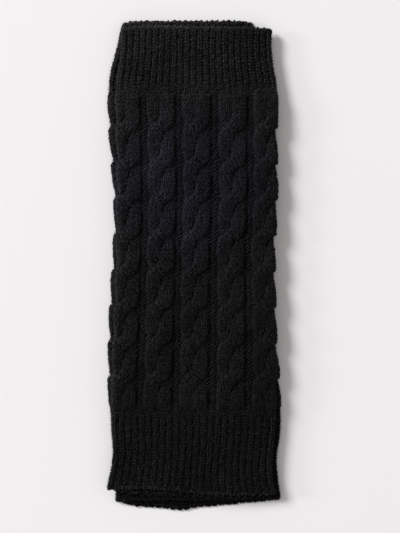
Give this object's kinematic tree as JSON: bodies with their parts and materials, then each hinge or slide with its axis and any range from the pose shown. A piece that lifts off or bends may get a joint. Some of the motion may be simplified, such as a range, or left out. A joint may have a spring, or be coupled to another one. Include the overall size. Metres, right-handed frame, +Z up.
{
  "type": "pair of footless cable-knit socks (leg warmers)",
  "caption": "Pair of footless cable-knit tubes with ribbed cuffs, laid flat one on the other and open at both ends, worn over the calves and ankles.",
  "frame": {"origin": "middle of the ground that the pair covers, on the surface it lies on", "axes": "+Y up the leg towards the top cuffs, +Z up from the surface, +X to the right as seen from above"},
  "size_m": [0.1394, 0.3932, 0.0171],
  "materials": {
    "cable_knit": "black brushed wool-blend knit, matt, with a soft nap",
    "rib_knit": "black brushed wool-blend rib knit, matt, with a soft nap"
  },
  "bodies": {
    "root": {"upper_top_cuff": "rib_knit", "upper_cable_leg": "cable_knit", "upper_bottom_cuff": "rib_knit", "lower_top_cuff": "rib_knit", "lower_cable_leg": "cable_knit", "lower_bottom_cuff": "rib_knit"}
  },
  "joints": []
}
